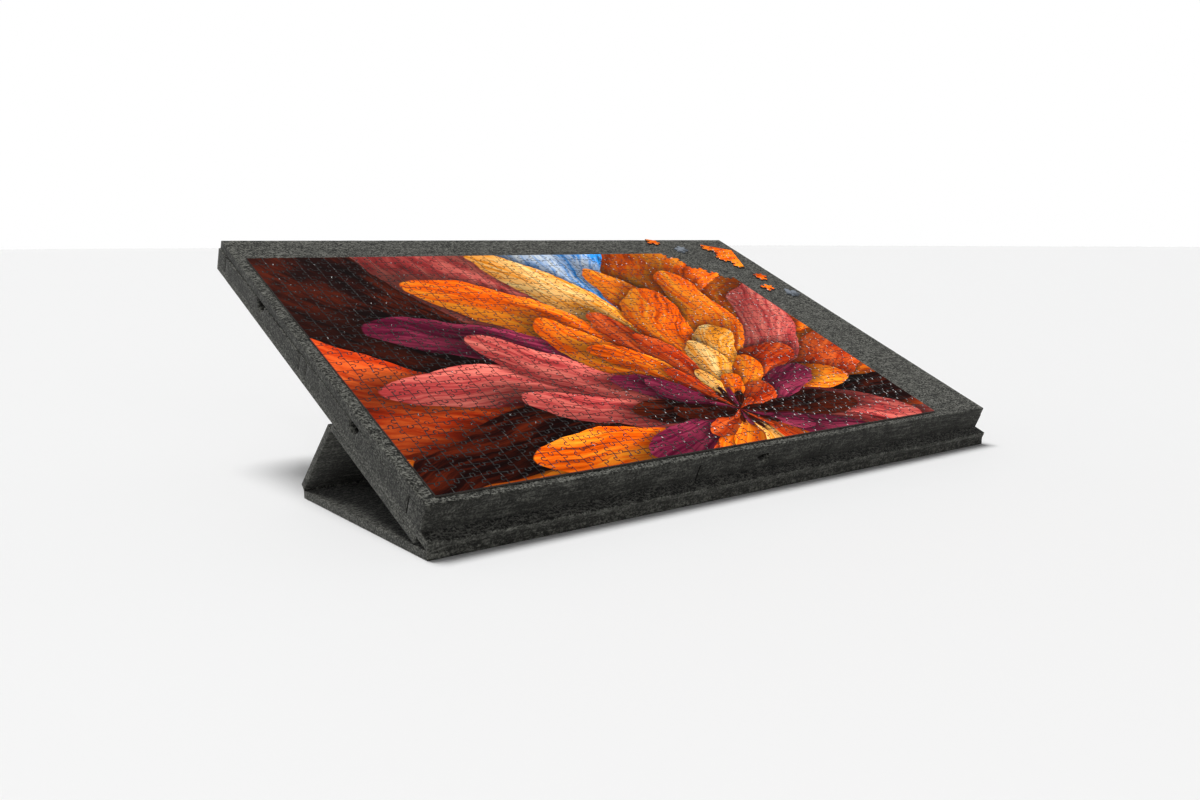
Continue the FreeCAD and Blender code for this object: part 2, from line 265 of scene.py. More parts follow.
feltLook = {
    "roughness": 0.97,
    "specular": 0.06,
    "sheen": 0.1,
    "sheenRoughness": 0.5,
    "blue": 0.88,            # the wool is a little warmer than grey
    "dark": 0.004,
    "middle": 0.026,
    "light": 0.21,
    "fleckScale": 460,       # flecks one to two millimetres across
    "fleckSpan": (0.34, 0.66),
    "patchScale": 60,        # cloudy patches of 10 to 20 mm
    "patchAmount": 0.08,
    "hairScale": 560,        # hairs a millimetre thick and six long
    "hairStretch": 0.17,
    "hairSpan": (0.60, 0.72),
    "hairAmount": 0.75,
    "hairRelief": 0.25,
    "streakAmount": 0.12,
    "sideStreaks": 0.11,     # the cut sides show the layers of the wool as streaks
    "streakScale": 330,
    "streakStretch": 0.1,
    "downContrast": 0.26,    # contrast of the faces that look down, next to the top
    # by the upward part of a face's normal, from -1 to 1: where each look begins and ends
    "downSpan": (-0.4, 0.9),
    "topSpan": (0.4, 0.9),
    "underShadeSpan": (-0.95, -0.75),
    "paintedUnderShade": 0.5,        # painted shade on the faces that look straight down
    "bump": 0.7,
    "bumpHeight": 0.6 * mm,
}
# the directions that the pressed hairs lie in, most of them near the board's width
hairTurns = ((10, 15, -18), (-20, 5, 14), (5, -25, 62))


# light hairs: noises stretched along a few directions, cut off at their peaks
def hairLines(tree, place):
    hairs = None
    stretch = (feltLook["hairStretch"], 1, 1)
    for turn in hairTurns:
        angles = [part * degree for part in turn]
        turned = makeNode(tree, "Mapping", {"Vector": place, "Rotation": angles}).outputs[0]
        drawn = makeNode(tree, "Mapping", {"Vector": turned, "Scale": stretch}).outputs[0]
        peaks = remap(tree, noiseAt(tree, drawn, feltLook["hairScale"], 1.0, 0.5), *feltLook["hairSpan"])
        hairs = peaks if hairs is None else sums(tree, "MAXIMUM", hairs, peaks)
    return hairs


def feltTone(level):
    return (level, level, level * feltLook["blue"], 1)


# a value for the faces that look down, which turns into another one towards the brushed top
def downToTop(tree, upward, down, top):
    return remap(tree, upward, *feltLook["downSpan"], down, top)


# the last argument paints light and shade on the faces that look down: it sets their tone next to the
# brushed top, darker below 1 and brighter above
def feltMaterial(name, brightness=1.0, paintedDownLight=0.95):
    look = feltLook
    material, tree, shader = newMaterial(name, look["roughness"], look["specular"])
    coordinates = makeNode(tree, "TexCoord", {}).outputs
    place = coordinates["Object"]
    patches = noiseAt(tree, place, look["patchScale"], 3.0, 0.55)
    flecks = noiseAt(tree, place, look["fleckScale"], 3.0, 0.7, 0.2)
    hairs = hairLines(tree, place)
    stretch = (look["streakStretch"], 1, 1)
    lengthwise = makeNode(tree, "Mapping", {"Vector": place, "Scale": stretch}).outputs[0]
    streaks = noiseAt(tree, lengthwise, look["streakScale"], 2.0, 0.6)

    upward = makeNode(tree, "SeparateXYZ", {"Vector": coordinates["Normal"]}).outputs["Z"]
    contrast = downToTop(tree, upward, look["downContrast"], 1.0)
    level = remap(tree, flecks, *look["fleckSpan"], -0.5, 0.5)
    level = sums(tree, "MULTIPLY_ADD", level, contrast, 0.5)
    cloudy = remap(tree, patches, *noiseSpan, -look["patchAmount"], look["patchAmount"])
    level = sums(tree, "ADD", level, cloudy)
    amount = remap(tree, upward, *look["topSpan"], look["sideStreaks"], look["streakAmount"])
    level = sums(tree, "MULTIPLY_ADD", remap(tree, streaks, *noiseSpan, -1.0, 1.0), amount, level)
    tones = [feltTone(look[shade] * brightness) for shade in ("dark", "middle", "light")]
    tone = ramp(tree, level, list(zip((0.0, 0.5, 1.0), tones)))
    drawn = sums(tree, "MULTIPLY", sums(tree, "MULTIPLY", hairs, look["hairAmount"]), contrast)
    tone = blendColours(tree, drawn, tone, tones[2])
    # painted light and shade by how a face is turned: the faces that look down take the painted tone above,
    # and those that look straight down a further painted shade
    paintedShading = downToTop(tree, upward, paintedDownLight, 1.0)
    paintedShading = sums(tree, "MULTIPLY", paintedShading, remap(tree, upward, *look["underShadeSpan"], look["paintedUnderShade"], 1.0))
    tone = blendColours(tree, 1.0, tone, greyOf(tree, paintedShading), "MULTIPLY")
    tree.links.new(tone, shader.inputs["Base Color"])

    relief = sums(tree, "MULTIPLY_ADD", hairs, look["hairRelief"], flecks)
    bumpInputs = {"Strength": look["bump"], "Distance": look["bumpHeight"], "Height": relief}
    bump = makeNode(tree, "Bump", bumpInputs)
    tree.links.new(bump.outputs["Normal"], shader.inputs["Normal"])
    shader.inputs["Sheen Weight"].default_value = look["sheen"]
    shader.inputs["Sheen Roughness"].default_value = look["sheenRoughness"]
    return material


# the third number, where given, is painted light on the faces that look down; without it they are painted a
# little darker
surfaceFelt = feltMaterial("surfaceFelt", 1.06)
sheetFelt = feltMaterial("sheetFelt", 0.88, 1.9)
coreFelt = feltMaterial("coreFelt", 1.0)
drawerFelt = feltMaterial("drawerFelt", 1.0)
trayFelt = feltMaterial("trayFelt", 1.1)
standFelt = feltMaterial("standFelt", 1.0, 1.5)
foldFelt = feltMaterial("foldFelt", 0.95, 1.3)
# painted shade: the ends of the drawer fronts, seen only in the slits and seams between them, are made dark
# as the shadow there
slitShadeFelt = feltMaterial("slitShadeFelt", 0.3)


# Felt pieces: a block at its size, cut into a grid, edges softened, faces pressed slightly uneven

feltShape = {
    "gridPitch": 8 * mm,
    "edgePitch": 4 * mm,
    "rimRound": 1.1 * mm,
    "rimSteps": 3,
    "edgeRound": 0.6 * mm,
    "seamRound": 0.2 * mm,   # where two cut sheets meet, their fuzz closes the seam
    "roundFrom": 32 * degree,
    "waveSize": 25 * mm,
    "waveHeight": 0.35 * mm,
    "sheetWave": 0.2 * mm,   # thinner felt is pressed flatter
    "stripWave": 0.12 * mm,
    "smoothTo": 50 * degree,
}
feltWaves = cloudTexture("feltWaves", feltShape["waveSize"])


def softenFelt(piece, waveHeight, edgeRound, roundFrom=feltShape["roundFrom"]):
    applyModifier(
        piece,
        "BEVEL",
        width=edgeRound,
        segments=2,
        limit_method="ANGLE",
        angle_limit=roundFrom,
    )
    applyModifier(
        piece,
        "DISPLACE",
        texture=feltWaves,
        texture_coords="LOCAL",
        strength=waveHeight,
        mid_level=0.5,
    )
    makeActive(piece)
    bpy.ops.object.shade_smooth_by_angle(angle=feltShape["smoothTo"])


def coat(mesh, material):
    mesh.materials.clear()
    mesh.materials.append(material)


# rounds the edges that a test finds, by the radius of the board's rim
def roundRim(piece, test):
    pickEdges(piece, test)
    bpy.ops.mesh.bevel(offset=feltShape["rimRound"], segments=feltShape["rimSteps"])
    bpy.ops.object.mode_set(mode="OBJECT")


def finishFelt(piece, material, body, nodeName):
    coat(piece.data, material)
    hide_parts(nodeName)
    if body:
        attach(piece, body)


def feltBlock(name, low, high):
    piece = addBlock(name, low, high)
    for axis in range(2):
        cutAcross(piece, axis, feltShape["gridPitch"])
    cutAcross(piece, 2, feltShape["edgePitch"])
    return piece


# a strip of the board's core, its edges left sharp so that the seams nearly vanish
def feltStrip(name, nodeName):
    low, high = flatBox(nodeName, boardPlace)
    piece = feltBlock(name, low, high)
    softenFelt(piece, feltShape["stripWave"], feltShape["seamRound"])
    setInPlace(piece, boardPlace)
    finishFelt(piece, coreFelt, "board", nodeName)


surfaceShape = {
    "frontGrow": 0.9 * mm,   # the work surface is flush with the front face
    "leftGrow": 0.9 * mm,    # and with the left face at the front corner
    "backSlip": 1.6 * mm,    # but its back left corner stops short
    "slipFade": 60 * mm,
    "leftRim": 3 * mm,       # the slipped edge is looked for within this width
}


def buildWorkSurface():
    low, high = flatBox("top_sheet", boardPlace)
    low -= Vector((surfaceShape["leftGrow"], surfaceShape["frontGrow"], 0))
    piece = feltBlock("workSurface", low, high)
    for vertex in piece.data.vertices:
        toLeft = max(0, 1 - (vertex.co.x - low.x) / surfaceShape["slipFade"])
        toBack = (vertex.co.y - low.y) / (high.y - low.y)
        vertex.co.x += surfaceShape["backSlip"] * toLeft * toBack

    def onRim(start, end):
        ends = (start, end)
        return min(start.z, end.z) > high.z - near and (
            all(abs(point.y - low.y) < near for point in ends)
            or all(abs(point.y - high.y) < near for point in ends)
            or all(abs(point.x - high.x) < near for point in ends)
            or all(point.x < low.x + surfaceShape["leftRim"] for point in ends)
        )

    roundRim(piece, onRim)
    softenFelt(piece, feltShape["waveHeight"], feltShape["seamRound"])
    setInPlace(piece, boardPlace)
    finishFelt(piece, surfaceFelt, "board", "top_sheet")


def buildUnderside():
    low, high = flatBox("bottom_sheet", boardPlace)
    piece = feltBlock("undersideSheet", low, high)

    def onLip(point):
        return abs(point.y - low.y) < near and abs(point.z - high.z) < near

    roundRim(piece, lambda start, end: onLip(start) and onLip(end))
    softenFelt(piece, feltShape["sheetWave"], feltShape["seamRound"])
    setInPlace(piece, boardPlace)
    finishFelt(piece, sheetFelt, "board", "bottom_sheet")


def buildBoard():
    buildWorkSurface()
    buildUnderside()
    strips = {
        "frontRailLeft": "front_left_rail",
        "frontRailRight": "front_right_rail",
        "backRail": "back_rail",
        "dividerLeft": "left_divider",
        "dividerRight": "right_divider",
    }
    for name, nodeName in strips.items():
        feltStrip(name, nodeName)
    for nodeName in ("left_spine", "right_spine", "centre_core"):
        coat(frame["nodes"][nodeName].data, coreFelt)
    print("board layers done")


# Drawers: a front with a half-round finger notch, and a shallow tray behind it

drawerShape = {
    "notchRadius": 9 * mm,
    "notchSides": 40,
    "notchRound": 3.0 * mm,
    "mouthSteps": 4,
    # wider slits at the nearer and at the farther end of a front, as in the photo
    "slits": {
        "left_front_drawer": (1.1 * mm, 0.2 * mm),
        "left_rear_drawer": (0, 0.6 * mm),
        "front_drawer": (1.0 * mm, 0.2 * mm),
    },
    "seamGrow": 0.45 * mm,   # the fuzz above and below a front closes the gap round it
    "wall": 4 * mm,
    "floor": 3 * mm,
    "gridPitch": 9 * mm,
    "waveHeight": 0.15 * mm,
}


# rings of the notch's cutter from one face of the front to the other: their place and how much wider
# they are than the notch, so that its mouth ends in a quarter round at both faces
def notchRings(start, end):
    mouth, steps = drawerShape["notchRound"], drawerShape["mouthSteps"]
    half = [(start - mouth, mouth)]
    for step in range(steps + 1):
        turn = math.pi / 2 * step / steps
        half.append((start + mouth * (1 - math.cos(turn)), mouth * (1 - math.sin(turn))))
    return half + [(start + end - place, wider) for place, wider in reversed(half)]


# a spool across the middle of the front's top edge takes the notch out
def cutNotch(piece, low, high):
    across = 0 if high.x - low.x < high.y - low.y else 1
    along = 1 - across
    turn = (0, math.pi / 2, 0) if across == 0 else (math.pi / 2, 0, 0)
    middle = (low + high) / 2
    rings = notchRings(low[across], high[across])
    length = rings[-1][0] - rings[0][0]
    deselectAll()
    bpy.ops.mesh.primitive_cylinder_add(
        vertices=drawerShape["notchSides"],
        radius=drawerShape["notchRadius"],
        depth=length,
        location=(middle.x, middle.y, high.z),
        rotation=turn,
    )
    bpy.ops.object.transform_apply(location=True, rotation=True, scale=True)
    cutter = bpy.context.object
    subdivideAlong(cutter, across, len(rings) - 2)
    for vertex in cutter.data.vertices:
        share = (vertex.co[across] - rings[0][0]) / length
        place, wider = rings[round(share * (len(rings) - 1))]
        grow = 1 + wider / drawerShape["notchRadius"]
        vertex.co[across] = place
        vertex.co[along] = middle[along] + (vertex.co[along] - middle[along]) * grow
        vertex.co.z = high.z + (vertex.co.z - high.z) * grow
    applyModifier(piece, "BOOLEAN", object=cutter, operation="DIFFERENCE", solver="EXACT")
    bpy.data.objects.remove(cutter, do_unlink=True)


def buildDrawerFront(drawerName, pieceName):
    nodeName = drawerName + "_front"
    low, high = flatBox(nodeName, boardPlace)
    grow = drawerShape["seamGrow"]
    low.z -= grow
    high.z += 0 if "rear" in drawerName else grow
    nearer, farther = drawerShape["slits"].get(drawerName, (0, 0))
    along = 0 if drawerName == "front_drawer" else 1
    low[along] += nearer
    high[along] -= farther
    piece = feltBlock(pieceName + "Front", low, high)
    cutNotch(piece, low, high)
    softenFelt(piece, drawerShape["waveHeight"], feltShape["seamRound"])
    ends = [face.index for face in piece.data.polygons if abs(face.normal[along]) > 0.9]
    setInPlace(piece, boardPlace)
    finishFelt(piece, drawerFelt, drawerName, nodeName)
    # the ends, which face the slits, take the dark felt as painted shade in the slits
    piece.data.materials.append(slitShadeFelt)
    for index in ends:
        piece.data.polygons[index].material_index = 1


def buildDrawerTray(drawerName, pieceName):
    nodeName = drawerName + "_tray"
    low, high = flatBox(nodeName, boardPlace)
    piece = addBlock(pieceName + "Tray", low, high)
    pickFaces(piece, lambda face: face.normal.z > 0.9)
    bpy.ops.mesh.inset(thickness=drawerShape["wall"])
    depth = high.z - low.z - drawerShape["floor"]
    bpy.ops.mesh.extrude_region_move(TRANSFORM_OT_translate={"value": (0, 0, -depth)})
    bpy.ops.object.mode_set(mode="OBJECT")
    for axis in range(2):
        cutAcross(piece, axis, drawerShape["gridPitch"])
    softenFelt(piece, drawerShape["waveHeight"], feltShape["edgeRound"])
    setInPlace(piece, boardPlace)
    finishFelt(piece, trayFelt, drawerName, nodeName)


def buildDrawers():
    drawers = {
        "left_front_drawer": "drawerLeftFront",
        "left_rear_drawer": "drawerLeftRear",
        "right_front_drawer": "drawerRightFront",
        "right_rear_drawer": "drawerRightRear",
        "front_drawer": "drawerMiddle",
    }
    for drawerName, pieceName in drawers.items():
        buildDrawerFront(drawerName, pieceName)
        buildDrawerTray(drawerName, pieceName)
    print("drawers done")


# Stand: three felt panels and the skins of felt that join them

standShape = {
    "foldBevel": 2.3 * mm,
    "panelRound": 0.35 * mm,
    "webReach": 3.1 * mm,
    "webProud": 0.2 * mm,
    "webRound": 0.4 * mm,
    "webWave": 0.15 * mm,
    "webRoundFrom": 0.5,     # in radians, about 29 degrees
    "strutRise": 0.45 * mm,  # the strut's free end presses against the board
}


def standPanel(name, nodeName, place, body):
    low, high = flatBox(nodeName, place)
    piece = feltBlock(name, low, high)
    ends = (low.y, high.y)
    pickEdges(
        piece,
        lambda start, end: abs(start.z - high.z) < near
        and abs(end.z - high.z) < near
        and any(abs(start.y - y) < near and abs(end.y - y) < near for y in ends),
    )
    bpy.ops.mesh.bevel(offset=standShape["foldBevel"], segments=1)
    bpy.ops.object.mode_set(mode="OBJECT")
    if name == "strutPanel":
        for vertex in piece.data.vertices:
            outer = (high.z - vertex.co.z) / (high.z - low.z)
            vertex.co.z -= standShape["strutRise"] * outer * (vertex.co.y - low.y) / (high.y - low.y)
    edgeRound = feltShape["edgeRound"] if name == "basePanel" else standShape["panelRound"]
    softenFelt(piece, feltShape["sheetWave"], edgeRound)
    setInPlace(piece, place)
    finishFelt(piece, standFelt, body, nodeName)


# fills the bevels of two panels; each panel's directions are along its inner face and out of its end
def foldWeb(name, nodeName, fold, firstDirections, secondDirections):
    bevel, reach = standShape["foldBevel"], standShape["webReach"]
    (firstAlong, firstOut), (secondAlong, secondOut) = firstDirections, secondDirections
    outer = (firstOut + secondOut).normalized() * standShape["webProud"]
    section = [
        firstAlong * reach,
        firstOut * reach,
        outer,
        secondOut * reach,
        secondAlong * reach,
    ]
    section = [fold + point for point in section]
    low, high = cadBox
    deselectAll()
    bpy.ops.mesh.primitive_circle_add(vertices=len(section), radius=bevel, fill_type="NGON")
    piece = bpy.context.object
    piece.name = name
    piece.data.name = name
    for vertex, point in zip(piece.data.vertices, section):
        vertex.co = Vector((low.x, point.y, point.z))
    pickFaces(piece, lambda face: True)
    bpy.ops.mesh.extrude_region_move(TRANSFORM_OT_translate={"value": (high.x - low.x, 0, 0)})
    bpy.ops.mesh.select_all(action="SELECT")
    bpy.ops.mesh.normals_make_consistent(inside=False)
    bpy.ops.object.mode_set(mode="OBJECT")
    cutAcross(piece, 0, feltShape["gridPitch"])
    softenFelt(piece, standShape["webWave"], standShape["webRound"], standShape["webRoundFrom"])
    finishFelt(piece, foldFelt, None, nodeName)
    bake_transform(piece)


def buildStand():
    standPanel("basePanel", "base_panel", basePlace, "stand_base")
    standPanel("propPanel", "prop_panel", propPlace, "prop")
    standPanel("strutPanel", "strut_panel", strutPlace, "strut")

    forward, down, up = Vector((0, 1, 0)), Vector((0, 0, -1)), Vector((0, 0, 1))
    board, prop, strut = boardPlace.to_3x3(), propPlace.to_3x3(), strutPlace.to_3x3()
    foldWeb(
        "frontFoldFelt", "front_fold", frontFold,
        (forward, down), (board @ forward, board @ up),
    )
    foldWeb(
        "rearFoldFelt", "rear_fold", rearFold,
        (-forward, down), (prop @ forward, prop @ down),
    )
    foldWeb(
        "topFoldFelt", "top_fold", topFold,
        (prop @ -forward, prop @ down), (strut @ forward, strut @ down),
    )
    print("stand done")


# Jigsaw: every kind of piece is modelled once and copied to its cells

jigsaw = {
    "columns": 38,
    "rows": 27,
    "knobRadius": 2.7 * mm,
    "knobNeck": 3.6 * mm,
    "headSteps": 5,
    "gap": 0.28 * mm,
    "rimWidth": 0.42 * mm,
    "rimDrop": 0.5 * mm,
    "cornerReach": 1 * mm,   # the upright edges at a piece's corners stay sharp
    "tiltSpread": 0.25 * degree,
    "firstMissing": {26: 34, 25: 35, 24: 35, 23: 36, 22: 37},  # by row, the first column left open
    "wander": 2.0 * mm,
    "wanderSizes": {"X": 12 * mm, "Y": 13 * mm},
    "borderKeep": 1 * mm,    # the cuts don't wander so near the border
    "borderFade": 8 * mm,
}
cornerGroup = {
    "cells": [(35, 26), (36, 26), (37, 26), (36, 25), (37, 25), (36, 24), (37, 24), (37, 23)],
    "spot": (786 * mm, 490 * mm),
    "turn": -24 * degree,
}
loosePieces = {
    "loose_piece_1": {"cell": (34, 26), "spot": (646 * mm, 523 * mm), "turn": -22 * degree},
    "loose_piece_2": {"cell": (35, 25), "spot": (683 * mm, 495 * mm), "turn": 30 * degree},
    "loose_piece_3": {"cell": (35, 24), "spot": (762 * mm, 393 * mm), "turn": -38 * degree},
    "loose_piece_4": {"cell": (36, 23), "spot": (741 * mm, 357 * mm), "turn": 20 * degree},
    "loose_piece_5": {"cell": (37, 22), "spot": (775 * mm, 339 * mm), "turn": -30 * degree},
}
faceDown = ("loose_piece_2", "loose_piece_5")

puzzleLow, puzzleHigh = flatBox("puzzle", boardPlace)
boardLow = flatBox("back_rail", boardPlace)[0]
frontFace = flatBox("front_left_rail", boardPlace)[0].y
pitchX = (puzzleHigh.x - puzzleLow.x) / jigsaw["columns"]
pitchY = (puzzleHigh.y - puzzleLow.y) / jigsaw["rows"]
cardThick = puzzleHigh.z - puzzleLow.z
puzzleSpread = max(puzzleHigh.x - puzzleLow.x, puzzleHigh.y - puzzleLow.y)


# +1 if the knob on a piece's right (or back) side points away from it, -1 if it points into it
def knobSide(column, row, upward):
    mix = column * 5 + row * 3 + column * row + (2 if upward else 0)
    return 1 if mix % 4 < 2 else -1


# +1 for a knob, -1 for a socket, 0 for the straight border
def sideKind(cell, step):
    beside = (cell[0] + step[0], cell[1] + step[1])
    if not (0 <= beside[0] < jigsaw["columns"] and 0 <= beside[1] < jigsaw["rows"]):
        return 0
    ahead = step[0] + step[1] > 0
    owner = cell if ahead else beside
    return knobSide(owner[0], owner[1], step[0] == 0) * (1 if ahead else -1)


# a side from its first corner up to its last, with a round-headed knob or socket in its middle
def sidePoints(start, end, kind):
    if kind == 0:
        return [start]
    along = (end - start).normalized()
    outward = Vector((along.y, -along.x))
    centreOut = math.sqrt(jigsaw["knobRadius"] ** 2 - (jigsaw["knobNeck"] / 2) ** 2)
    radius = jigsaw["knobRadius"] - kind * jigsaw["gap"] / 2
    rise = centreOut + kind * jigsaw["gap"] / 2
    centre = (start + end) / 2 + outward * kind * rise
    opening = math.acos(rise / radius)
    points = [start]
    for step in range(jigsaw["headSteps"] + 1):
        turn = opening + (2 * math.pi - 2 * opening) * step / jigsaw["headSteps"]
        points.append(centre - along * radius * math.sin(turn) - outward * kind * radius * math.cos(turn))
    return points


# the outline of one piece about its own middle, anticlockwise from the front left corner
def outlinePoints(kinds):
    halfX, halfY = (pitchX - jigsaw["gap"]) / 2, (pitchY - jigsaw["gap"]) / 2
    corners = [Vector((x * halfX, y * halfY)) for x, y in ((-1, -1), (1, -1), (1, 1), (-1, 1))]
    points = []
    for index, kind in enumerate(kinds):
        points += sidePoints(corners[index], corners[(index + 1) % 4], kind)
    return points


steps = ((0, -1), (1, 0), (0, 1), (-1, 0))
models = {}


# keeps the upper rim and the corners of a piece crisp under its smooth shading
def sharpenEdges(piece):
    corners = [Vector((x * pitchX / 2, y * pitchY / 2)) for x in (-1, 1) for y in (-1, 1)]
    reach = jigsaw["cornerReach"]

    def onRim(start, end):
        return abs(start.z - end.z) < near and start.z > near

    def onCorner(start, end):
        return any(
            (start.xy - corner).length < reach and (end.xy - corner).length < reach for corner in corners
        )

    pickEdges(piece, lambda start, end: onRim(start, end) or onCorner(start, end))
    bpy.ops.mesh.mark_sharp()
    bpy.ops.object.mode_set(mode="OBJECT")


# the model of a cell's kind of piece, made the first time that it is asked for
def pieceModel(cell):
    kinds = tuple(sideKind(cell, step) for step in steps)
    if kinds in models:
        return models[kinds]
    points = outlinePoints(kinds)
    deselectAll()
    bpy.ops.mesh.primitive_circle_add(vertices=len(points), radius=pitchX / 2, fill_type="NGON")
    piece = bpy.context.object
    for vertex, point in zip(piece.data.vertices, points):
        vertex.co = Vector((point.x, point.y, 0))
    piece.data.update()
    pickFaces(piece, lambda face: True)
    lift = cardThick - jigsaw["rimDrop"]
    bpy.ops.mesh.extrude_region_move(TRANSFORM_OT_translate={"value": (0, 0, lift)})
    bpy.ops.mesh.inset(thickness=jigsaw["rimWidth"], depth=0)
    bpy.ops.transform.translate(value=(0, 0, jigsaw["rimDrop"]))
    bpy.ops.mesh.select_all(action="SELECT")
    bpy.ops.mesh.normals_make_consistent(inside=False)
    bpy.ops.object.mode_set(mode="OBJECT")
    for material in (cardBack, cardCore):
        piece.data.materials.append(material)
    for face in piece.data.polygons:
        face.material_index = 0 if face.normal.z > 0.2 else 1  # the rounded rim is printed too
    bpy.ops.object.shade_smooth()
    sharpenEdges(piece)
    piece.hide_render = True
    models[kinds] = piece
    return piece


def cellMiddle(cell):
    return Vector(((cell[0] + 0.5) * pitchX, (cell[1] + 0.5) * pitchY, 0))


# lays a map of the piece flat, as shares of the puzzle's longer side from a given corner
def mapFlat(piece, name, corner):
    layer = piece.data.uv_layers.new(name=name)
    flat = []
    for vertex in piece.data.vertices:
        flat.append(((vertex.co.x - corner.x) / puzzleSpread, (vertex.co.y - corner.y) / puzzleSpread))
    layer.data.foreach_set("uv", [part for loop in piece.data.loops for part in flat[loop.vertex_index]])


# a copy of a cell's model, with its own mesh, laid at a place in the board's frame
def dealPiece(cell, place):
    piece = pieceModel(cell).copy()
    piece.data = piece.data.copy()
    piece.hide_render = False
    bpy.context.scene.collection.objects.link(piece)
    mapFlat(piece, "picture", -cellMiddle(cell))
    piece.data.transform(place)
    return piece


def joinPieces(name, pieces):
    deselectAll()
    for piece in pieces:
        piece.select_set(True)
    bpy.context.view_layer.objects.active = pieces[0]
    if len(pieces) > 1:
        bpy.ops.object.join()
    joined = bpy.context.object
    joined.name = name
    joined.data.name = name
    return joined


# a piece never lies quite flat
def unevenLie():
    spread = jigsaw["tiltSpread"]
    return Euler((dice.gauss(0, spread), dice.gauss(0, spread), 0)).to_matrix().to_4x4()


# lets the cuts wander a little, except along the straight border
def wander(piece):
    keep = piece.vertex_groups.new(name="inside")
    for vertex in piece.data.vertices:
        rim = min(
            vertex.co.x - puzzleLow.x,
            puzzleHigh.x - vertex.co.x,
            vertex.co.y - puzzleLow.y,
            puzzleHigh.y - vertex.co.y,
        )
        share = (rim - jigsaw["borderKeep"]) / jigsaw["borderFade"]
        keep.add([vertex.index], min(1, max(0, share)), "REPLACE")
    for direction, size in jigsaw["wanderSizes"].items():
        applyModifier(
            piece,
            "DISPLACE",
            texture=cloudTexture("cutWander" + direction, size, 1),
            texture_coords="LOCAL",
            direction=direction,
            strength=jigsaw["wander"] * 2,
            mid_level=0.5,
            vertex_group="inside",
        )
    piece.vertex_groups.clear()


# The printed picture: a big flower seen close up, its petals streaked along their length

# a colour as seen on a screen, from 0 to 255
def colour(red, green, blue):
    return tuple((part / 255) ** 2.2 for part in (red, green, blue)) + (1,)


# main and light tone of each kind of petal
families = {
    "orange": (colour(240, 92, 6), colour(255, 158, 44)),
    "amber": (colour(246, 148, 36), colour(255, 220, 146)),
    "rust": (colour(178, 50, 14), colour(236, 104, 46)),
    "rose": (colour(178, 62, 62), colour(232, 122, 108)),
    "plum": (colour(96, 22, 50), colour(160, 60, 84)),
    "dark": (colour(34, 11, 7), colour(92, 34, 16)),
    "sky": (colour(50, 146, 232), colour(240, 248, 255)),
}
flower = {
    "ground": colour(24, 9, 12),
    "heart": (414, 64),      # in mm from the puzzle's front left corner
    "uneven": 0.34,          # how much the petals of a ring differ in length
    "tip": 0.35,             # how round the petals' ends are
    "drift": 0.05,           # in metres, how far the outlines stray
    "driftScale": 8.0,
    "seedStep": 31.0,        # sets the noise of one ring apart from the next
    "lines": (7.0, 10.0),    # fine streaks: scales of their noise along and across a petal
    "linesSpan": (0.34, 0.64),
    "linesShare": 0.62,
    "folds": (9.0, 2.2),     # and broad folds
    "foldsShare": 0.5,
    "deepTone": (0.15, 0.10, 0.10, 1),  # what the main tone is multiplied by in the depths
    "deepSpan": (0.05, 0.42),
    "lightSpan": (0.45, 0.95),
    "lightSide": 1.8,        # brightness of a petal's two sides
    "darkSide": 0.5,
    "edgeFrom": 0.994,       # a petal ends within this share of its length
    "contactTone": 0.3,      # its shadow on the petals below
    "contactEnd": 1.25,
}
# rings of petals from the outermost inwards: radius in mm, petals all round, phase, twist, and the
# colours of the half behind the heart from the right to the left
rings = [
    (1200, 14, 0.3, 1.6, ("rust", "orange", "orange", "orange", "sky", "rose", "dark")),
    (470, 18, 0.0, -1.9, ("rust", "rose", "orange", "orange", "amber", "orange", "plum", "rose", "dark")),
    (330, 16, 0.45, 2.4, ("rose", "orange", "rust", "amber", "orange", "rust", "orange", "rose")),
    (205, 14, 0.1, -2.2, ("plum", "orange", "amber", "rust", "orange", "plum", "dark")),
    (112, 12, 0.6, 1.5, ("dark", "rust", "orange", "amber", "rust", "plum")),
    (44, 20, 0.0, 0.0, ("dark", "rust", "dark", "plum", "dark", "dark", "rust", "dark", "plum", "dark")),
]


# one tone of each petal's colour, by its place in the half ring
def paletteAt(tree, place, names, tone):
    stops = [(index / len(names), families[name][tone]) for index, name in enumerate(names)]
    return ramp(tree, place, stops, "CONSTANT")


# noise drawn out along a petal; stretch is its scale along the petal and across it
def petalNoise(tree, reach, petal, seed, stretch, scale, detail, rough, bend=0.0):
    along = sums(tree, "MULTIPLY", reach, stretch[0])
    across = sums(tree, "MULTIPLY", petal, stretch[1])
    place = makeNode(tree, "CombineXYZ", {"X": along, "Y": across, "Z": seed}).outputs[0]
    return noiseAt(tree, place, scale, detail, rough, bend)


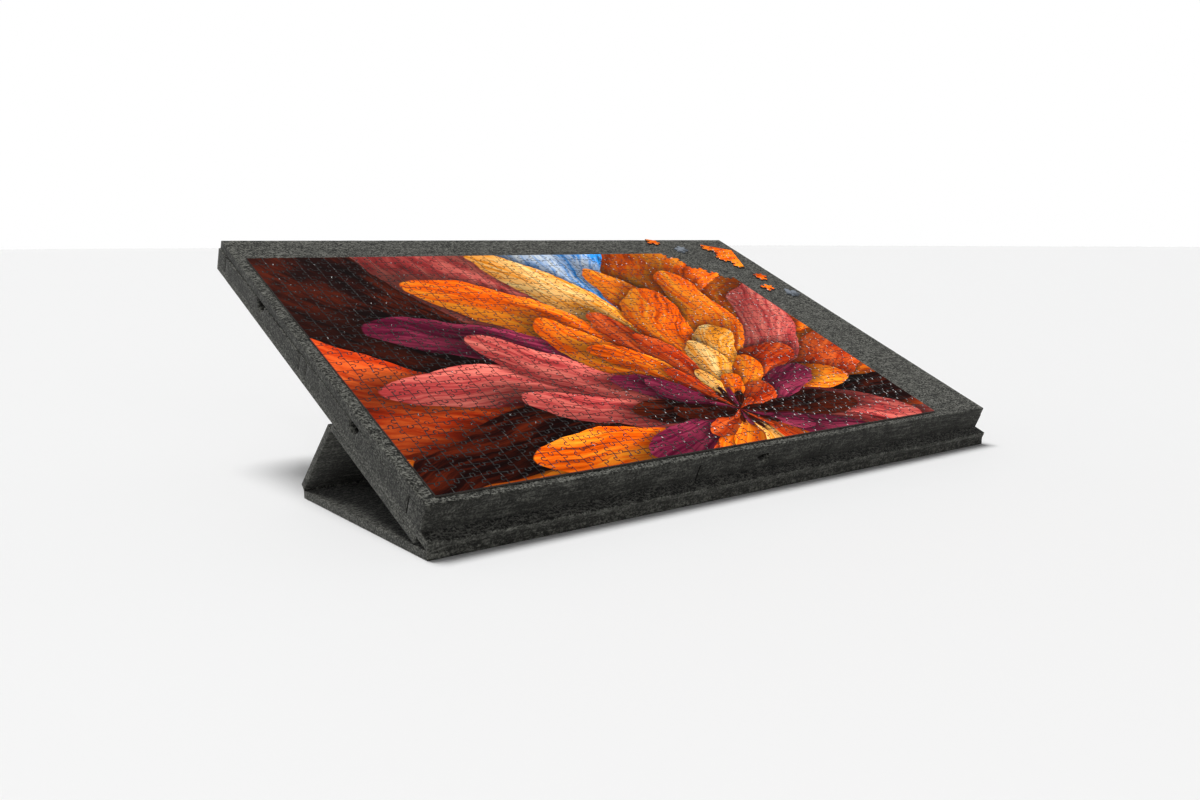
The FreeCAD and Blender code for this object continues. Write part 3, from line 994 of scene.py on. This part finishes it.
# one ring of petals laid over the colours under it
def ringOver(tree, turn, reach, under, ring, seed):
    radius, count, phase, twist, colours = ring
    swirl = sums(tree, "MULTIPLY_ADD", reach, twist, phase)
    petal = sums(tree, "MULTIPLY_ADD", turn, float(count), swirl)
    number = sums(tree, "FLOOR", petal)
    across = sums(tree, "MULTIPLY_ADD", sums(tree, "SUBTRACT", petal, number), 2.0, -1.0)
    chance = makeNode(tree, "TexWhiteNoise", {"W": sums(tree, "ADD", number, seed)}, noise_dimensions="1D")
    length = remap(tree, chance.outputs["Value"], 0.0, 1.0, 1 - flower["uneven"], 1.0)
    squared = sums(tree, "MULTIPLY", across, across)
    tip = sums(tree, "MULTIPLY", length, sums(tree, "MULTIPLY_ADD", squared, -flower["tip"], 1.0))
    share = sums(tree, "DIVIDE", reach, sums(tree, "MULTIPLY", tip, radius * mm))

    fine = petalNoise(tree, reach, petal, seed, flower["lines"], scale=1.6, detail=6.0, rough=0.72)
    wide = petalNoise(tree, reach, petal, seed, flower["folds"], scale=1.0, detail=2.0, rough=0.5, bend=0.5)
    level = remap(tree, fine, *flower["linesSpan"], 0.0, flower["linesShare"])
    level = sums(tree, "ADD", level, remap(tree, wide, *noiseSpan, 0.0, flower["foldsShare"]))

    place = sums(tree, "DIVIDE", sums(tree, "ADD", number, 0.5), float(len(colours)))
    place = sums(tree, "FRACT", place)
    main = paletteAt(tree, place, colours, 0)
    light = paletteAt(tree, place, colours, 1)
    dark = blendColours(tree, 1.0, main, flower["deepTone"], "MULTIPLY")
    inside = blendColours(tree, remap(tree, level, *flower["deepSpan"]), dark, main)
    inside = blendColours(tree, remap(tree, level, *flower["lightSpan"]), inside, light)

    fold = remap(tree, across, -1.0, 1.0, flower["lightSide"], flower["darkSide"])
    fold = sums(tree, "MULTIPLY", fold, remap(tree, share, 0.1, 0.6, 0.6, 1.0))
    inside = blendColours(tree, 1.0, inside, greyOf(tree, fold), "MULTIPLY")
    contact = remap(tree, share, 1.0, flower["contactEnd"], flower["contactTone"], 1.0)
    under = blendColours(tree, 1.0, under, greyOf(tree, contact), "MULTIPLY")
    return blendColours(tree, remap(tree, share, flower["edgeFrom"], 1.0, 1.0, 0.0), under, inside)


printLook = {
    "roughness": 0.5,
    "rimRoughness": 0.2,     # the press rounds and polishes the cut edges
    "specular": 0.03,
    "rimSpecular": 0.4,
    "rimSpan": (0.985, 0.90),    # cosines of the slopes where a rim begins and where it is steep
    # painted shade along the cut edges, where the seams between the pieces are dark
    "paintedSeamShade": 0.22,
    "paintedRimHighlight": 0.042,        # painted highlight along the cuts: pale lines in dark print where the rims catch the light
}


# the print, which reads where each point lies in the whole puzzle from the map "picture"
def pictureMaterial():
    material, tree, shader = newMaterial("printedPicture", printLook["roughness"], printLook["specular"])
    flat = makeNode(tree, "UVMap", {}, uv_map="picture").outputs[0]
    flat = vectorSums(tree, "SCALE", {0: flat, "Scale": puzzleSpread})

    noise = {"Vector": flat, "Scale": flower["driftScale"], "Detail": 2.0}
    drift = makeNode(tree, "TexNoise", noise).outputs["Color"]
    drift = vectorSums(tree, "SUBTRACT", {0: drift, 1: (0.5, 0.5, 0.5)})
    drift = vectorSums(tree, "SCALE", {0: drift, "Scale": flower["drift"]})
    warped = vectorSums(tree, "ADD", {0: flat, 1: drift})
    heart = [part * mm for part in flower["heart"]] + [0]
    arm = vectorSums(tree, "SUBTRACT", {0: warped, 1: heart})
    split = makeNode(tree, "SeparateXYZ", {"Vector": arm}).outputs
    reach = vectorSums(tree, "MULTIPLY", {0: (1, 1, 0), 1: arm})
    reach = vectorSums(tree, "LENGTH", {0: reach}, "Value")
    turn = sums(tree, "ARCTAN2", split["Y"], split["X"])
    turn = sums(tree, "MULTIPLY_ADD", turn, 1 / (2 * math.pi), 1.0)
    tone = flower["ground"]
    for index, ring in enumerate(rings):
        tone = ringOver(tree, turn, reach, tone, ring, flower["seedStep"] * (index + 1))

    normal = makeNode(tree, "TexCoord", {}).outputs["Normal"]
    facing = vectorSums(tree, "DOT_PRODUCT", {0: normal, 1: boardNormal}, "Value")
    rim = remap(tree, facing, *printLook["rimSpan"])
    # painted shade: the print is darkened on the rims, as the seams between the pieces would be
    shade = greyOf(tree, sums(tree, "MULTIPLY_ADD", rim, printLook["paintedSeamShade"] - 1, 1.0))
    tone = blendColours(tree, 1.0, tone, shade, "MULTIPLY")
    # painted highlight: dark print on the rims is lifted to a pale grey, as if the rims caught the light
    paintedHighlight = greyOf(tree, sums(tree, "MULTIPLY", rim, printLook["paintedRimHighlight"]))
    tone = blendColours(tree, 1.0, tone, paintedHighlight, "LIGHTEN")
    roughness = remap(tree, rim, 0.0, 1.0, printLook["roughness"], printLook["rimRoughness"])
    specular = remap(tree, rim, 0.0, 1.0, printLook["specular"], printLook["rimSpecular"])
    tree.links.new(tone, shader.inputs["Base Color"])
    tree.links.new(roughness, shader.inputs["Roughness"])
    tree.links.new(specular, shader.inputs["Specular IOR Level"])
    return material


cardLook = {
    "core": colour(84, 78, 72),
    "back": colour(132, 140, 150),
    "roughness": 0.8,
    "specular": 0.3,
    "fibreScale": 900,
    "fibreShade": 0.8,
    "bump": 0.2,
    "bumpHeight": 0.2 * mm,
}


def cardMaterial(name, tone):
    look = cardLook
    material, tree, shader = newMaterial(name, look["roughness"], look["specular"])
    place = makeNode(tree, "TexCoord", {}).outputs["Object"]
    fibre = noiseAt(tree, place, look["fibreScale"], 3.0, 0.6)
    dark = tuple(part * look["fibreShade"] for part in tone[:3]) + (1,)
    tree.links.new(blendColours(tree, fibre, dark, tone), shader.inputs["Base Color"])
    bumpInputs = {"Strength": look["bump"], "Distance": look["bumpHeight"], "Height": fibre}
    bump = makeNode(tree, "Bump", bumpInputs)
    tree.links.new(bump.outputs["Normal"], shader.inputs["Normal"])
    return material


cardCore = cardMaterial("cardCore", cardLook["core"])
printedPicture = pictureMaterial()
cardBack = cardMaterial("cardBack", cardLook["back"])


def finishPrint(piece, material, nodeName):
    piece.data.materials[0] = material
    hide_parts(nodeName)
    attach(piece, nodeName)


def layPuzzle():
    pieces = []
    for row in range(jigsaw["rows"]):
        for column in range(jigsaw["firstMissing"].get(row, jigsaw["columns"])):
            cell = (column, row)
            place = Matrix.Translation(puzzleLow + cellMiddle(cell)) @ unevenLie()
            pieces.append(dealPiece(cell, place))
    puzzle = joinPieces("jigsawPicture", pieces)
    wander(puzzle)
    mapFlat(puzzle, "OFBake", puzzleLow)
    setInPlace(puzzle, boardPlace)
    finishPrint(puzzle, printedPicture, "puzzle")


# a spot on the work surface, from the board's front left corner
def surfacePlace(spot, turn):
    corner = Vector((boardLow.x + spot[0], frontFace + spot[1], puzzleLow.z))
    return Matrix.Translation(corner) @ Matrix.Rotation(turn, 4, "Z")


def layCorner():
    grip = Matrix.Translation(Vector((-jigsaw["columns"] * pitchX, -jigsaw["rows"] * pitchY, 0)))
    laid = surfacePlace(cornerGroup["spot"], cornerGroup["turn"]) @ grip
    pieces = []
    for cell in cornerGroup["cells"]:
        place = laid @ Matrix.Translation(cellMiddle(cell)) @ unevenLie()
        pieces.append(dealPiece(cell, place))
    corner = joinPieces("jigsawCorner", pieces)
    setInPlace(corner, boardPlace)
    finishPrint(corner, printedPicture, "puzzle_corner")


def layLoosePieces():
    flip = Matrix.Translation((0, 0, cardThick)) @ Matrix.Rotation(math.pi, 4, "Y")
    for nodeName, settings in loosePieces.items():
        place = surfacePlace(settings["spot"], settings["turn"])
        if nodeName in faceDown:
            place = place @ flip
        piece = joinPieces("jigsawLoose" + nodeName[-1], [dealPiece(settings["cell"], place)])
        setInPlace(piece, boardPlace)
        if nodeName in faceDown:
            piece.data.materials[1] = cardBack
            finishPrint(piece, cardBack, nodeName)
        else:
            finishPrint(piece, printedPicture, nodeName)


def buildJigsaw():
    layPuzzle()
    layCorner()
    layLoosePieces()
    for model in models.values():
        bpy.data.objects.remove(model, do_unlink=True)
    print("jigsaw done")


# Studio: pale floor, soft light, camera at the photograph's angle

studio = {
    "floorSize": 80.0,
    "floorTone": 0.87,
    "floorGap": 0.2 * mm,
    "floorRoughness": 0.7,
    "floorSpecular": 0.2,
    "cameraSpot": (-0.7804, -0.9802, 0.2599),
    "pitch": -8.84 * degree,
    "yaw": -37.5 * degree,
    "roll": 0.1 * degree,
    "lens": 30.7,
    "sensor": 36.0,
    "clipStart": 10 * mm,
    "lampReach": 3.0,
}
# lamps far away, by the direction that they stand in
lamps = {
    "keyAbove": {"toward": (-0.1, 0.3, 0.95), "spread": 24 * degree, "power": 2.75},
    "sparkFront": {"toward": (-0.42, -0.67, 0.61), "spread": 8 * degree, "power": 0.09},
    "fillFront": {"toward": (-0.2, -0.95, 0.22), "spread": 40 * degree, "power": 0.28},
}
# brightness of the backdrop from straight down at 0 past the horizon at 0.5 to straight up at 1
backdrop = [(0.0, grey(1.0)), (0.6, grey(1.0)), (0.7, grey(0.2)), (1.0, grey(0.15))]
frontDim = 0.4           # behind the camera it is dimmer all over
frontSpan = (-0.6, 0.0)


def layFloor():
    deselectAll()
    height = cadBox[0].z - studio["floorGap"]
    bpy.ops.mesh.primitive_plane_add(size=studio["floorSize"], location=(0, 0, height))
    floor = bpy.context.object
    floor.name = "studioFloor"
    material, _, shader = newMaterial("floorPaint", studio["floorRoughness"], studio["floorSpecular"])
    shader.inputs["Base Color"].default_value = grey(studio["floorTone"])
    floor.data.materials.append(material)


def hangBackdrop():
    world = bpy.data.worlds.new("studioWorld")
    world.use_nodes = True
    tree = world.node_tree
    outward = makeNode(tree, "TexCoord", {}).outputs["Generated"]
    ways = makeNode(tree, "SeparateXYZ", {"Vector": outward}).outputs
    sky = ramp(tree, remap(tree, ways["Z"], -1.0, 1.0), backdrop)
    tree.links.new(sky, tree.nodes["Background"].inputs["Color"])
    dim = remap(tree, ways["Y"], *frontSpan, frontDim, 1.0)
    tree.links.new(dim, tree.nodes["Background"].inputs["Strength"])
    plain = makeNode(tree, "Background", {"Color": grey(1.0)}).outputs[0]
    seen = makeNode(tree, "LightPath", {}).outputs["Is Camera Ray"]  # the camera sees plain white
    shaders = {0: seen, 1: tree.nodes["Background"].outputs[0], 2: plain}
    both = makeNode(tree, "MixShader", shaders).outputs[0]
    tree.links.new(both, tree.nodes["World Output"].inputs["Surface"])
    bpy.context.scene.world = world


def hangLamps():
    for name, lamp in lamps.items():
        light = bpy.data.lights.new(name, "SUN")
        light.angle = lamp["spread"]
        light.energy = lamp["power"]
        holder = bpy.data.objects.new(name, light)
        holder.location = Vector(lamp["toward"]) * studio["lampReach"]
        holder.rotation_euler = (-Vector(lamp["toward"])).to_track_quat("-Z", "Y").to_euler()
        bpy.context.scene.collection.objects.link(holder)


def placeCamera():
    camera = bpy.data.cameras.new("studioCamera")
    camera.lens = studio["lens"]
    camera.sensor_width = studio["sensor"]
    camera.clip_start = studio["clipStart"]
    holder = bpy.data.objects.new("studioCamera", camera)
    holder.location = studio["cameraSpot"]
    holder.rotation_euler = (math.pi / 2 + studio["pitch"], studio["roll"], studio["yaw"])
    bpy.context.scene.collection.objects.link(holder)
    bpy.context.scene.camera = holder
    bpy.context.scene.view_settings.view_transform = "Standard"


def buildStudio():
    layFloor()
    hangBackdrop()
    hangLamps()
    placeCamera()
    print("studio done")


buildStudio()
buildBoard()
buildDrawers()
buildStand()
buildJigsaw()
